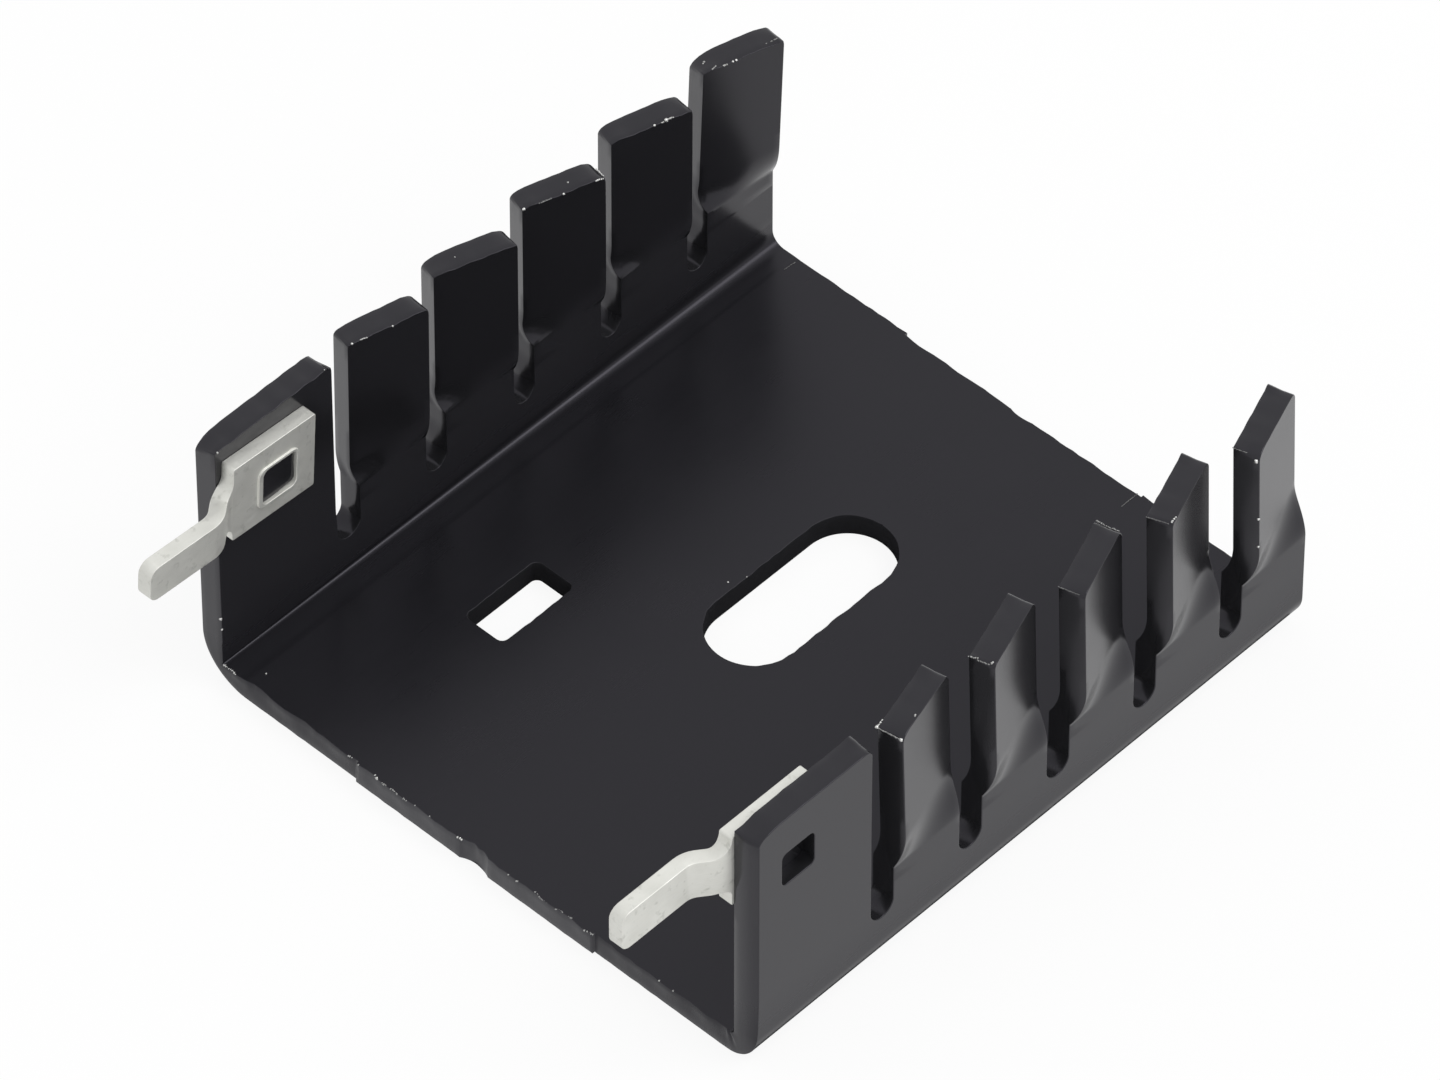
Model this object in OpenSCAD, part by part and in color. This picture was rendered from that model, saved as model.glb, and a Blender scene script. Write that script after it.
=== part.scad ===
// Folded sheet heat sink: a U-shaped channel with twisted fingers along both
// walls and a solder lug clinched to the first, flat finger of each wall.
// Millimetres. X runs across the channel, -Y is the front edge that the pins
// pass, +Z is up. The origin is the middle of the base's underside.

/* [Sheet] */
// Thickness of the aluminium sheet
sheet_t = 1.05; // [0.8:0.05:1.3]
// Inside radius of both bends, which are pressed almost sharp
bend_in_r = 0.25; // [0.1:0.05:0.4]
// Outside radius of the left bend
left_bend_r = 2.3; // [1.8:0.05:2.5]
// Outside radius of the right bend
right_bend_r = 1.5; // [1.5:0.05:2.5]

/* [Channel] */
// Width over both walls
body_w = 28.4; // [26:0.1:40]
// Length along the bends
body_l = 30; // [28:0.5:40]
// Height to the tips of the flat fingers
body_h = 12.7; // [12:0.1:20]
// Width of the step that the cut-off tool leaves in the base's end edges
cutoff_w = 12.2; // [6:0.1:16]
// How far the front edge stands out, and the back edge stands in, at that step
cutoff_step = 0.12; // [0.05:0.01:0.3]
// Radius of the strip's pilot holes, which the cut-off tool cuts through
pilot_r = 1.55; // [0.8:0.05:2.5]
// Depth of the round notch that a pilot hole leaves in the front edge
pilot_front = 0.18; // [0.05:0.01:0.4]
// Depth of the round notch that a pilot hole leaves in the back edge
pilot_back = 0.1; // [0.05:0.01:0.4]

/* [Screw slot] */
// Width of the slot for the transistor's screw
slot_w = 3.85; // [3:0.05:4.5]
// Length of the slot from end to end
slot_l = 9; // [6:0.1:11]
// From the front edge to the slot's middle
slot_front = 17.6; // [15:0.1:20]

/* [Locating hole] */
// Width of the small rectangular hole
hole_w = 2; // [1.5:0.1:3]
// Length of the small rectangular hole
hole_l = 3.9; // [3:0.1:5]
// Corner radius of the small rectangular hole
hole_r = 0.3; // [0.1:0.05:0.6]
// From the channel's middle to the hole's middle
hole_side = 7.3; // [5:0.1:8]
// From the front edge to the hole's middle
hole_front = 9.9; // [7:0.1:12]

/* [Fingers] */
// Width of the flat finger that carries the lug
lug_finger_w = 6.2; // [5:0.1:7]
// Number of twisted fingers on each wall
finger_n = 5; // [3:1:6]
// Width of the slots between the fingers
gap_w = 1.2; // [0.8:0.05:1.6]
// Height of the slots' round bottoms above the underside
gap_z = 2.75; // [2.5:0.05:3.2]
// How much lower the tips of the twisted fingers are
twist_short = 0.25; // [0.05:0.05:0.5]
// Angle that each finger is twisted by, front edge outward
twist_deg = 18; // [5:1:30]
// Height at which the twist starts
twist_z0 = 5; // [3.7:0.05:5.4]
// Height at which the twist ends
twist_z1 = 6.9; // [6:0.05:9]
// Radius of the front corners of the left fingertips
left_tip_r = 0.75; // [0.1:0.05:1.2]
// Radius of the front corners of the right fingertips
right_tip_r = 0.2; // [0.1:0.05:1.2]
// Radius of the flat fingers' front corners
flat_tip_r = 0.85; // [0.1:0.05:1.2]
// Radius of the back corners of all fingertips
back_tip_r = 0.4; // [0.1:0.05:1.2]

/* [Solder lugs] */
// Thickness of the lug strip
lug_t = 0.65; // [0.4:0.05:0.8]
// Length of the lug's plate along the wall
plate_l = 4.3; // [4:0.05:5.5]
// Height of the lug's plate
plate_h = 3.7; // [3:0.05:4]
// Corner radius of the lug's plate
plate_r = 0.2; // [0.1:0.05:0.6]
// From the fingertips down to the plate's middle
plate_drop = 2.55; // [2.3:0.05:3.2]
// Height of the solder pin from edge to edge
pin_h = 1.95; // [1.2:0.05:2.3]
// From the fingertips down to the pin's middle
pin_drop = 2.45; // [2.2:0.05:2.8]
// How far the pins pass the body's front edge
pin_reach = 5; // [3:0.1:8]
// Corner radius of the pin's tip
pin_tip_r = 0.5; // [0.2:0.05:0.7]
// How far the strip steps inward between plate and pin
jog = 0.7; // [0.5:0.05:1]
// Angle of the step's two bends
jog_deg = 38; // [25:1:50]
// Inside radius of the step's two bends
jog_r = 0.4; // [0.2:0.05:0.5]
// Radius of the notch between pin and plate on the upper side
shoulder_r = 0.3; // [0.1:0.05:0.6]
// Radius of the notch between pin and plate on the lower side
heel_r = 0.6; // [0.2:0.05:0.8]

/* [Clinch] */
// Side of the square boss pressed out of the wall into the lug
clinch_w = 1.7; // [1.2:0.05:2]
// Corner radius of the boss
clinch_r = 0.25; // [0.1:0.05:0.5]
// From the body's front edge back to the boss's middle
clinch_front = 2.4; // [2:0.05:2.8]
// From the fingertips down to the boss's middle
clinch_drop = 2.7; // [2.2:0.05:3.1]
// How far the boss stands into the lug
clinch_h = 0.5; // [0.2:0.02:0.6]
// Depth of the square pocket behind the boss
pocket_d = 0.6; // [0.3:0.05:0.7]
// Gap around the boss in the lug's hole
clinch_gap = 0.03; // [0.02:0.01:0.1]

/* [Hidden] */
$fn = 64;

front_y = -body_l / 2;
back_y = body_l / 2;
wall_x = body_w / 2 - sheet_t;       // inner face of the right wall
wall_mid = body_w / 2 - sheet_t / 2; // middle plane of the right wall
finger_w = (body_l - lug_finger_w) / finger_n - gap_w;
pitch = finger_w + gap_w;
clinch_y = front_y + clinch_front;
clinch_z = body_h - clinch_drop; // middles of clinch, plate and pin
plate_z = body_h - plate_drop;
pin_z = body_h - pin_drop;
neck_rings = 12;  // levels in a twisted neck
neck_cols = 4;    // columns across a twisted neck's wide faces
neck_root = 0.1;  // how far a neck runs on into the wall and into its finger
neck_slim = 0.01; // how far a neck's faces lie inside theirs
past = 1;         // how far a cutter passes the surface it cuts

jog_mid_r = jog_r + lug_t / 2;
jog_run = (jog - 2 * jog_mid_r * (1 - cos(jog_deg))) / sin(jog_deg);

// Middle of twisted finger i along Y, counted from the front
function finger_y(i) = front_y + lug_finger_w + pitch * i + gap_w + finger_w / 2;

// Share of the twist done at share s of its height: quick at first, then slower
function ease(s) = s * (2 - s);

// Flat outline standing on the X axis, with its upper corners rounded: by r at
// the front and by back_tip_r at the back
module tab(w, h, r) {
    translate([r, 0]) square([w - r - back_tip_r, h]);
    square([w / 2, h - r]);
    translate([w / 2, 0]) square([w / 2, h - back_tip_r]);
    translate([r, h - r]) circle(r);
    translate([w - back_tip_r, h - back_tip_r]) circle(back_tip_r);
}

// Flat rectangle about the origin with all four corners rounded
module pad(w, h, r) {
    square([w - 2 * r, h], center = true);
    square([w, h - 2 * r], center = true);
    for (x = [-1, 1], y = [-1, 1])
        translate([x * (w / 2 - r), y * (h / 2 - r)]) circle(r);
}

// Stands a flat outline, drawn as [Y, Z], up in the plane X = x, and makes
// it t thick towards +X
module upright(x, t) {
    translate([x, 0, 0]) rotate([90, 0, 90]) linear_extrude(t) children();
}

// Base between the two bends, with the cut-off step and the pilot hole's notch
// at both ends
module base() {
    flat_w = body_w - left_bend_r - right_bend_r;
    linear_extrude(sheet_t) difference() {
        union() {
            translate([left_bend_r - body_w / 2, front_y]) square([flat_w, body_l]);
            translate([-cutoff_w / 2, front_y - cutoff_step])
                square([cutoff_w, cutoff_step + past]);
        }
        translate([-cutoff_w / 2, back_y - cutoff_step])
            square([cutoff_w, cutoff_step + past]);
        translate([0, front_y - cutoff_step - pilot_r + pilot_front]) circle(pilot_r);
        translate([0, back_y - cutoff_step + pilot_r - pilot_back]) circle(pilot_r);
        slot_outline();
        translate([-hole_side, front_y + hole_front]) pad(hole_w, hole_l, hole_r);
    }
}

// Round-ended slot along Y
module slot_outline() {
    run = slot_l - slot_w;
    translate([0, front_y + slot_front]) {
        square([slot_w, run], center = true);
        for (s = [-1, 1]) translate([0, s * run / 2]) circle(d = slot_w);
    }
}

// Bend between the base and the right wall, r outside. The press squeezed the
// sheet there, so that the corner inside is much sharper than the one outside
module bend(r) {
    room = r - sheet_t; // from the corner inside to the bend's two ends
    translate([body_w / 2 - r, back_y, r]) rotate([90, 0, 0]) linear_extrude(body_l)
        difference() {
            intersection() {
                circle(r);
                translate([0, -r]) square(r);
            }
            translate([-past, bend_in_r - room]) square([past + room, room]);
            translate([-past, -room]) square([past + room - bend_in_r, room + past]);
            translate([room - bend_in_r, bend_in_r - room]) circle(bend_in_r);
        }
}

// Lower part of the right wall above a bend of radius r: the strip that all
// fingers stand on, with the round-bottomed slots cut into it, and the flat
// finger at its front
module wall(r) {
    upright(wall_x, sheet_t) difference() {
        union() {
            translate([front_y, r]) square([body_l, twist_z0 - r]);
            translate([front_y, r]) tab(lug_finger_w, body_h - r, flat_tip_r);
        }
        for (i = [0 : finger_n - 1]) {
            mid = finger_y(i) - finger_w / 2 - gap_w / 2;
            translate([mid, gap_z + gap_w / 2]) circle(d = gap_w);
            translate([mid - gap_w / 2, gap_z + gap_w / 2]) square([gap_w, body_h]);
        }
    }
}

// One ring of points round a neck's section, turned by a and at height z
function neck_ring(a, z) = [
    for (side = [1, -1], k = [0 : neck_cols])
        let (x = side * (sheet_t / 2 - neck_slim),
             y = side * (finger_w - 2 * neck_slim) * (k / neck_cols - 1 / 2))
        [x * cos(a) - y * sin(a), x * sin(a) + y * cos(a), z]
];

// Neck that turns a finger from the wall's plane to its twisted place
module neck() {
    n = 2 * (neck_cols + 1);
    rings = concat(
        [neck_ring(0, twist_z0 - neck_root)],
        [for (j = [0 : neck_rings])
            let (s = j / neck_rings)
            neck_ring(twist_deg * ease(s), twist_z0 + (twist_z1 - twist_z0) * s)],
        [neck_ring(twist_deg, twist_z1 + neck_root)]);
    last = len(rings) - 1;
    // Quads: across the bottom and the top, then round the sides
    bottom = [for (k = [0 : neck_cols - 1]) [k, k + 1, n - 2 - k, n - 1 - k]];
    top = [for (q = bottom) [for (v = [3 : -1 : 0]) last * n + q[v]]];
    sides = [for (j = [0 : last - 1], k = [0 : n - 1])
        let (a = j * n + k, b = j * n + (k + 1) % n)
        [a, a + n, b + n, b]];
    polyhedron(
        points = [for (ring = rings, p = ring) p],
        faces = [for (q = concat(bottom, top, sides))
            each [[q[0], q[1], q[2]], [q[0], q[2], q[3]]]]);
}

// One twisted finger above the wall's strip, at its place on the right wall,
// with the radius r at its tip's front corner
module finger(i, r) {
    translate([wall_mid, finger_y(i), 0]) {
        neck();
        rotate([0, 0, twist_deg]) translate([0, -finger_w / 2, twist_z1])
            upright(-sheet_t / 2, sheet_t)
                tab(finger_w, body_h - twist_short - twist_z1, r);
    }
}

// One side, drawn as the right one: bend, wall with its clinch, and fingers
module side(bend_r, tip_r) {
    difference() {
        union() {
            bend(bend_r);
            wall(bend_r);
            clinch(wall_x - clinch_h, clinch_h + past / 10, clinch_w);
        }
        clinch(body_w / 2 - pocket_d, pocket_d + past, clinch_w);
    }
    for (i = [0 : finger_n - 1]) finger(i, tip_r);
}

// Square block at the clinch, from X = x and t thick
module clinch(x, t, w) {
    upright(x, t) translate([clinch_y, clinch_z])
        pad(w, w, clinch_r + (w - clinch_w) / 2);
}

// The whole folded sheet
module heat_sink_body() {
    color([0.12, 0.12, 0.13]) union() {
        base();
        side(right_bend_r, right_tip_r);
        mirror([1, 0, 0]) side(left_bend_r, left_tip_r);
    }
}

// Side outline of a lug, as [Y, Z]: plate, pin and the notches between them
module lug_outline() {
    translate([front_y + plate_l / 2, plate_z]) pad(plate_l, plate_h, plate_r);
    translate([front_y - pin_reach, pin_z]) {
        translate([0, pin_tip_r - pin_h / 2])
            square([pin_reach + plate_l / 2, pin_h - 2 * pin_tip_r]);
        translate([pin_tip_r, -pin_h / 2])
            square([pin_reach + plate_l / 2 - pin_tip_r, pin_h]);
        for (s = [-1, 1]) translate([pin_tip_r, s * (pin_h / 2 - pin_tip_r)])
            circle(pin_tip_r);
    }
    notch(shoulder_r);
    mirror_z(pin_z) notch(heel_r);
}

// Material that fills the corner between the pin's upper edge and the plate,
// down to a notch of radius r
module notch(r) {
    translate([front_y, pin_z]) difference() {
        translate([-r, 0]) square([r + plate_r, pin_h / 2 + r]);
        translate([-r, pin_h / 2 + r]) circle(r);
    }
}

// Mirrors an outline, drawn as [Y, Z], about the height z
module mirror_z(z) {
    translate([0, 2 * z]) mirror([0, 1]) children();
}

// Strip of the right lug seen from above, as tall as the plate: flat on the
// wall, then a step inward through two equal and opposite bends, then the pin
module lug_strip() {
    translate([wall_x - lug_t, front_y, plate_z - plate_h / 2]) {
        cube([lug_t, plate_l, plate_h]);
        translate([-jog_r, 0, 0]) rotate([0, 0, -jog_deg]) {
            rotate_extrude(angle = jog_deg) translate([jog_r, 0]) square([lug_t, plate_h]);
            translate([jog_r, -jog_run, 0]) {
                cube([lug_t, jog_run, plate_h]);
                translate([lug_t + jog_r, 0, 0]) {
                    rotate([0, 0, 180]) rotate_extrude(angle = jog_deg)
                        translate([jog_r, 0]) square([lug_t, plate_h]);
                    rotate([0, 0, jog_deg]) translate([-jog_r - lug_t, -pin_reach, 0])
                        cube([lug_t, pin_reach, plate_h]);
                }
            }
        }
    }
}

// Solder lug of the right wall
module solder_lug() {
    difference() {
        intersection() {
            lug_strip();
            upright(0, body_w / 2) lug_outline();
        }
        clinch(wall_x - lug_t - past, lug_t + 2 * past, clinch_w + 2 * clinch_gap);
    }
}

module right_solder_lug() {
    color([0.8, 0.8, 0.78]) solder_lug();
}

module left_solder_lug() {
    color([0.8, 0.8, 0.78]) mirror([1, 0, 0]) solder_lug();
}

heat_sink_body();
left_solder_lug();
right_solder_lug();
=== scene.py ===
import math

import bmesh
import bpy
from mathutils import Matrix, Vector, noise


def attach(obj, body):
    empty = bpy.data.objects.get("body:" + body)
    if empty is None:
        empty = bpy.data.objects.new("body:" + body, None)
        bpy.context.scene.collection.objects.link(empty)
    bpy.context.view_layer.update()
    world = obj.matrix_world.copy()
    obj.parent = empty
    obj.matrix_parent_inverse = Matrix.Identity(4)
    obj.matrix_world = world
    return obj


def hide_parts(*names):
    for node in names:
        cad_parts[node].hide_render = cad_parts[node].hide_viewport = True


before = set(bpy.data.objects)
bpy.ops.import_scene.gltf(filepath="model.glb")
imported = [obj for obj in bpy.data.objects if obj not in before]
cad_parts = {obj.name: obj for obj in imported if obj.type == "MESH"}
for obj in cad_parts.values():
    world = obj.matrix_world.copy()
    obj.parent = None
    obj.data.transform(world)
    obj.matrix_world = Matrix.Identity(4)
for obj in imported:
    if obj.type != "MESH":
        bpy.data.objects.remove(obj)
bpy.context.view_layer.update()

# ---------------------------------------------------------------- the sheet
# The body is one blank of half-hard aluminium sheet, anodised black when it is done. A press
# stamps its outline and openings, folds both sides up over a nearly sharp punch and twists the
# fingers. The stamped edges are rolled over outside the fold and end in a burr on its inside.

MM = 0.001                           # all sizes are in millimetres
THICK = 1.05
WIDE, LONG, HIGH = 28.4, 30.0, 12.7
FRONT = -LONG / 2
LEFT, RIGHT = -1, 1
OUTER_R = {LEFT: 2.3, RIGHT: 1.5}    # outside radii, which came out unequal
INNER_R = {LEFT: 0.1, RIGHT: 0.25}
INNER_GROWS, INNER_WAVERS = 0.06, 0.03           # the left one, on its way to the back,
OPENS_BY, OPENS_FROM, OPENS_OVER = 0.45, 6, 9    # where it opens out
FLAT = {s: WIDE / 2 - OUTER_R[s] for s in (LEFT, RIGHT)}
BEND_ARC = {s: (OUTER_R[s] - THICK / 2) * math.pi / 2 for s in (LEFT, RIGHT)}

LUG_FINGER, FINGERS, GAP, GAP_FLOOR = 6.2, 5, 1.2, 2.75
FINGER = (LONG - LUG_FINGER) / FINGERS - GAP
PITCH = FINGER + GAP
TWIST_LO, TWIST_HI = 5.0, 6.9
NECK_LO, NECK_HI = TWIST_LO - 0.5, TWIST_HI + 0.6
TWISTS = {LEFT: (13.5, 18, 18, 16.3, 16), RIGHT: (15, 18, 20, 20, 20)}   # degrees, from the front
TWISTED_SHORT = {LEFT: 0.22, RIGHT: 0.3}               # how much lower the twisted tips are
TIP_LEAN = {LEFT: (-0.04, 0), RIGHT: (-0.16, -0.13)}   # where those tips went: outward, back
LEFT_LEAN = (0.05, 0, 0, 0, 0.28)                      # how much further back each left one went
CREASE_START = (0.1, 0.4, 0.4, 0.4, 0.4)     # how much higher each left twist starts at its front
CREASE_SLANT = {LEFT: 1.0, RIGHT: 0.4}       # how much higher a twist ends at its back

CUTOFF_W, CUTOFF_STEP = 12.2, 0.12
PILOT_R, PILOT_FRONT, PILOT_BACK = 1.55, 0.18, 0.1     # the strip's pilot holes, and their bite
SLOT_W, SLOT_L, SLOT_Y = 3.85, 9.0, FRONT + 17.6
HOLE_W, HOLE_L, HOLE_R, HOLE_X, HOLE_Y = 2.0, 3.9, 0.3, -7.3, FRONT + 9.9
CLINCH_W, CLINCH_R, CLINCH_H, POCKET = 1.7, 0.25, 0.5, 0.6
PLUG_ROOT, PLUG_PROUD = 0.2, 0.08            # the plug's hidden end, and how it bulged
CLINCH_Y, CLINCH_Z = FRONT + 2.4, HIGH - 2.7
CLINCH_OFF = {LEFT: (0.2, -0.12, -3.5), RIGHT: (-0.12, -0.2, 0)}   # back, up, degrees of tilt

BEHIND, BEYOND = -1, 2               # the punches pass through the sheet from here to there
ROOM = 1                             # and overlap its edges by this much
HALF_ROUND = 0.002                   # what a half-round end's radius lacks, so that none collapses
ALONG, FACING = 0.99, 0.9            # cosines: an edge runs along an axis, a face looks along it
UNCUT = 0.995                        # and a face that is still the mill's
NEAR = 0.01                          # a point this close to a plane is on it


def side_of(x):
    return RIGHT if x > 0 else LEFT


def ease(s):
    s = min(max(s, 0), 1)
    return s * s * (3 - 2 * s)


def inner_r(side, y):
    """Inside radius of a bend: the left one opens out towards its back end."""
    if side == RIGHT:
        return INNER_R[RIGHT]
    return (INNER_R[LEFT] + INNER_GROWS * (y - FRONT) / LONG
            + OPENS_BY * ease((y - OPENS_FROM) / OPENS_OVER)
            + INNER_WAVERS * noise.noise((y * 2.3, 4, 1)))


def blank_u(side, z):
    """How far out on the flat blank that lies which stands at height z on a wall."""
    return FLAT[side] + BEND_ARC[side] + z - OUTER_R[side]


def middle_of(edge):
    return (edge.verts[0].co + edge.verts[1].co) / 2


def runs_along(edge, axis):
    return abs((edge.verts[1].co - edge.verts[0].co).normalized().dot(axis)) > ALONG


def round_edges(bm, edges, radius, segments):
    bmesh.ops.bevel(bm, geom=edges, offset=radius, offset_type="OFFSET", segments=segments,
                    profile=0.5, affect="EDGES", material=-1, clamp_overlap=True)
    bm.normal_update()


def rounded_block(lo, hi, radius, up=(0, 0, 1), pick=None, segments=8):
    """A block between two corners. Its edges along up are rounded off, or those that pick takes."""
    bm = bmesh.new()
    lo, hi, up = Vector(lo), Vector(hi), Vector(up)
    place = Matrix.Translation((lo + hi) / 2) @ Matrix.Diagonal((*(hi - lo), 1))
    bmesh.ops.create_cube(bm, size=1, matrix=place)
    if radius:
        edges = [e for e in bm.edges
                 if runs_along(e, up) and (pick is None or pick(middle_of(e)))]
        round_edges(bm, edges, radius, segments)
    return bm


def as_object(bm, name):
    mesh = bpy.data.meshes.new(name)
    bm.to_mesh(mesh)
    bm.free()
    obj = bpy.data.objects.new(name, mesh)
    bpy.context.scene.collection.objects.link(obj)
    return obj


def strike(obj, tools, operation):
    """Cuts the tools out of an object, or joins them to it, and throws them away."""
    for tool in tools:
        tool_obj = as_object(tool, "tool")
        mod = obj.modifiers.new("strike", "BOOLEAN")
        mod.object = tool_obj
        mod.operation = operation
        mod.solver = "EXACT"
        bpy.context.view_layer.objects.active = obj
        bpy.ops.object.modifier_apply(modifier=mod.name)
        bpy.data.objects.remove(tool_obj)


def cleaned(mesh):
    """The mesh without doubles and without the edges that a cut leaves across flat faces."""
    bm = bmesh.new()
    bm.from_mesh(mesh)
    bmesh.ops.remove_doubles(bm, verts=bm.verts, dist=0.0005)
    bmesh.ops.dissolve_limit(bm, angle_limit=math.radians(0.5), verts=bm.verts, edges=bm.edges)
    bm.normal_update()
    return bm


def slice_at(bm, faces, point, normal):
    """Divides faces along a plane."""
    geom = dict.fromkeys(part for f in faces for part in (*f.verts, *f.edges, f))
    bmesh.ops.bisect_plane(bm, geom=list(geom), dist=0.0004, plane_co=point, plane_no=normal)


sheet = as_object(rounded_block((-blank_u(LEFT, HIGH), FRONT, 0),
                                (blank_u(RIGHT, HIGH), -FRONT, THICK), 0), "heat_sink_sheet")
strike(sheet, [rounded_block((-CUTOFF_W / 2, FRONT - CUTOFF_STEP, 0),
                             (CUTOFF_W / 2, FRONT + ROOM, THICK), 0)], "UNION")
punches = [
    rounded_block((-CUTOFF_W / 2, -FRONT - CUTOFF_STEP, BEHIND),
                  (CUTOFF_W / 2, -FRONT + ROOM, BEYOND), 0),
    rounded_block((-SLOT_W / 2, SLOT_Y - SLOT_L / 2, BEHIND),
                  (SLOT_W / 2, SLOT_Y + SLOT_L / 2, BEYOND), SLOT_W / 2 - HALF_ROUND, segments=20),
    rounded_block((HOLE_X - HOLE_W / 2, HOLE_Y - HOLE_L / 2, BEHIND),
                  (HOLE_X + HOLE_W / 2, HOLE_Y + HOLE_L / 2, BEYOND), HOLE_R),
]
for y in (FRONT - CUTOFF_STEP - PILOT_R + PILOT_FRONT, -FRONT - CUTOFF_STEP + PILOT_R - PILOT_BACK):
    pilot = bmesh.new()
    bmesh.ops.create_cone(pilot, segments=96, radius1=PILOT_R, radius2=PILOT_R, depth=2 * BEYOND,
                          cap_ends=True, matrix=Matrix.Translation((0, y, 0)))
    punches.append(pilot)
for side in (LEFT, RIGHT):
    for i in range(FINGERS):
        y = FRONT + LUG_FINGER + PITCH * i
        u0, u1 = sorted(side * blank_u(side, z) for z in (GAP_FLOOR, HIGH + BEYOND))
        punches.append(rounded_block((u0, y, BEHIND), (u1, y + GAP, BEYOND), GAP / 2 - HALF_ROUND,
                                     pick=lambda p, s=side: p.x * s < blank_u(s, HIGH),
                                     segments=12))
strike(sheet, punches, "DIFFERENCE")


def clinch_block(side, low, high):
    """A square block where the clinching punch met the wall, on the flat blank."""
    back, rise, tilt = CLINCH_OFF[side]
    half = CLINCH_W / 2
    block = rounded_block((-half, -half, low), (half, half, high), CLINCH_R)
    turn = Matrix.Translation((side * blank_u(side, CLINCH_Z + rise), CLINCH_Y + back, 0))
    turn @= Matrix.Rotation(math.radians(side * tilt), 4, "Z")
    bmesh.ops.transform(block, matrix=turn, verts=block.verts)
    return block


for side in (LEFT, RIGHT):
    strike(sheet, [clinch_block(side, THICK - PLUG_ROOT, THICK + CLINCH_H + PLUG_PROUD)], "UNION")
    strike(sheet, [clinch_block(side, BEHIND, POCKET)], "DIFFERENCE")

bm = cleaned(sheet.data)


def finger_of(y):
    """Number of the twisted finger at y, counted from the front, or -1 for the flat one."""
    return max(math.floor((y - FRONT - LUG_FINGER - GAP / 2) / PITCH), -1)


def finger_mid(n):
    return FRONT + LUG_FINGER / 2 if n < 0 else FRONT + LUG_FINGER + PITCH * n + GAP + FINGER / 2


def finger_width(n):
    return LUG_FINGER if n < 0 else FINGER


def tip_u(side, n):
    """How far out on the blank finger n ends. The twisted fingers came out shorter."""
    return blank_u(side, HIGH - (TWISTED_SHORT[side] if n >= 0 else 0))


def neck_of(p):
    """Side and number of the twisted finger whose neck holds a point of the blank, or None."""
    side, n = side_of(p.x), finger_of(p.y)
    inside = blank_u(side, NECK_LO) < abs(p.x) < blank_u(side, NECK_HI)
    return (side, n) if n >= 0 and inside else None


# The tips: the twisted ones end lower, and all their corners are rounded
CORNER_R = {"front": 0.2, "back": 0.25}
corners = {"front": [], "back": []}
for e in bm.edges:
    a, b = (v.co for v in e.verts)
    if abs((b - a).z) > THICK * 0.9 and abs(a.x) > blank_u(side_of(a.x), HIGH) - NEAR:
        corners["front" if a.y < finger_mid(finger_of(a.y)) else "back"].append(e)
for v in bm.verts:
    side = side_of(v.co.x)
    if abs(v.co.x) > blank_u(side, HIGH) - NEAR:
        v.co.x = side * tip_u(side, finger_of(v.co.y))
for end, edges in corners.items():
    round_edges(bm, edges, CORNER_R[end], 8)

# Rims: the rolled edge is on the outside of the fold, the burr on the inside
DIE_ROLL, BURR = 0.17, 0.02


def rims(low, high):
    """The edges between a flat face and a cut one, at heights from low to high."""
    found = []
    for e in bm.edges:
        flat = [abs(f.normal.z) > FACING for f in e.link_faces]
        if len(flat) == 2 and flat[0] != flat[1] and low < middle_of(e).z < high:
            found.append(e)
    return found


round_edges(bm, rims(THICK - NEAR, THICK + CLINCH_H + PLUG_PROUD + NEAR), BURR, 2)
round_edges(bm, rims(-NEAR, NEAR), DIE_ROLL, 4)

# What made each face, in the order of the materials below: the rolling mill, the finger punch,
# the shear that cut the blank off its strip, and the punches of the base's openings
MILL, FINGER_PUNCH, SHEAR, BASE_PUNCH = range(4)
SHEARED_STRIP = 0.5                  # how close to the front and the back the sheared faces are
made = bm.faces.layers.int.new("made")
for f in bm.faces:
    c = f.calc_center_median()
    if abs(f.normal.z) > UNCUT:
        f[made] = MILL
    elif abs(c.x) >= FLAT[side_of(c.x)]:
        f[made] = FINGER_PUNCH
    else:
        f[made] = SHEAR if abs(c.y) > -FRONT - SHEARED_STRIP else BASE_PUNCH

# Enough rows of faces for the bends, the necks and the ragged rims
BESIDE = 0.3                         # a bend's shading runs out over this much of the flat sheet
TIP_WEAR = 1.2                       # how far down from a tip its wear reaches
BEND_ROWS, NECK_ROWS, NECK_COLUMNS = 20, 29, 12
NECK_FIRST = NECK_LO + 0.1
FOOT_ROWS = (3.4, 3.8, 4.2)          # heights over the gaps' floors
FINGER_ROW = 8
RIM_STEP_Y, RIM_STEP_X = 0.3, 0.33   # the cuts across the rims, and how far from a cut the middle
REACH_Y, REACH_X = 4, 8              # of a face can be that it divides
OPENINGS_X, BASE_X = 9, 13           # how far from the middle the openings and the base reach
for side in (LEFT, RIGHT):
    rows = [FLAT[side] - BESIDE]
    rows += [FLAT[side] + BEND_ARC[side] * k / BEND_ROWS for k in range(BEND_ROWS + 1)]
    rows += [blank_u(side, z)
             for z in (OUTER_R[side] + BESIDE, *FOOT_ROWS, FINGER_ROW, HIGH - TIP_WEAR)]
    rows += [blank_u(side, NECK_FIRST + (NECK_HI - NECK_FIRST) * k / NECK_ROWS)
             for k in range(NECK_ROWS + 1)]
    for u in rows:
        slice_at(bm, bm.faces, (side * u, 0, 0), (1, 0, 0))
    for n in range(FINGERS):
        for k in range(1, NECK_COLUMNS):
            y = finger_mid(n) + FINGER * (k / NECK_COLUMNS - 0.5)
            slice_at(bm, [f for f in bm.faces if neck_of(f.calc_center_median()) == (side, n)],
                     (0, y, 0), (0, 1, 0))
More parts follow.
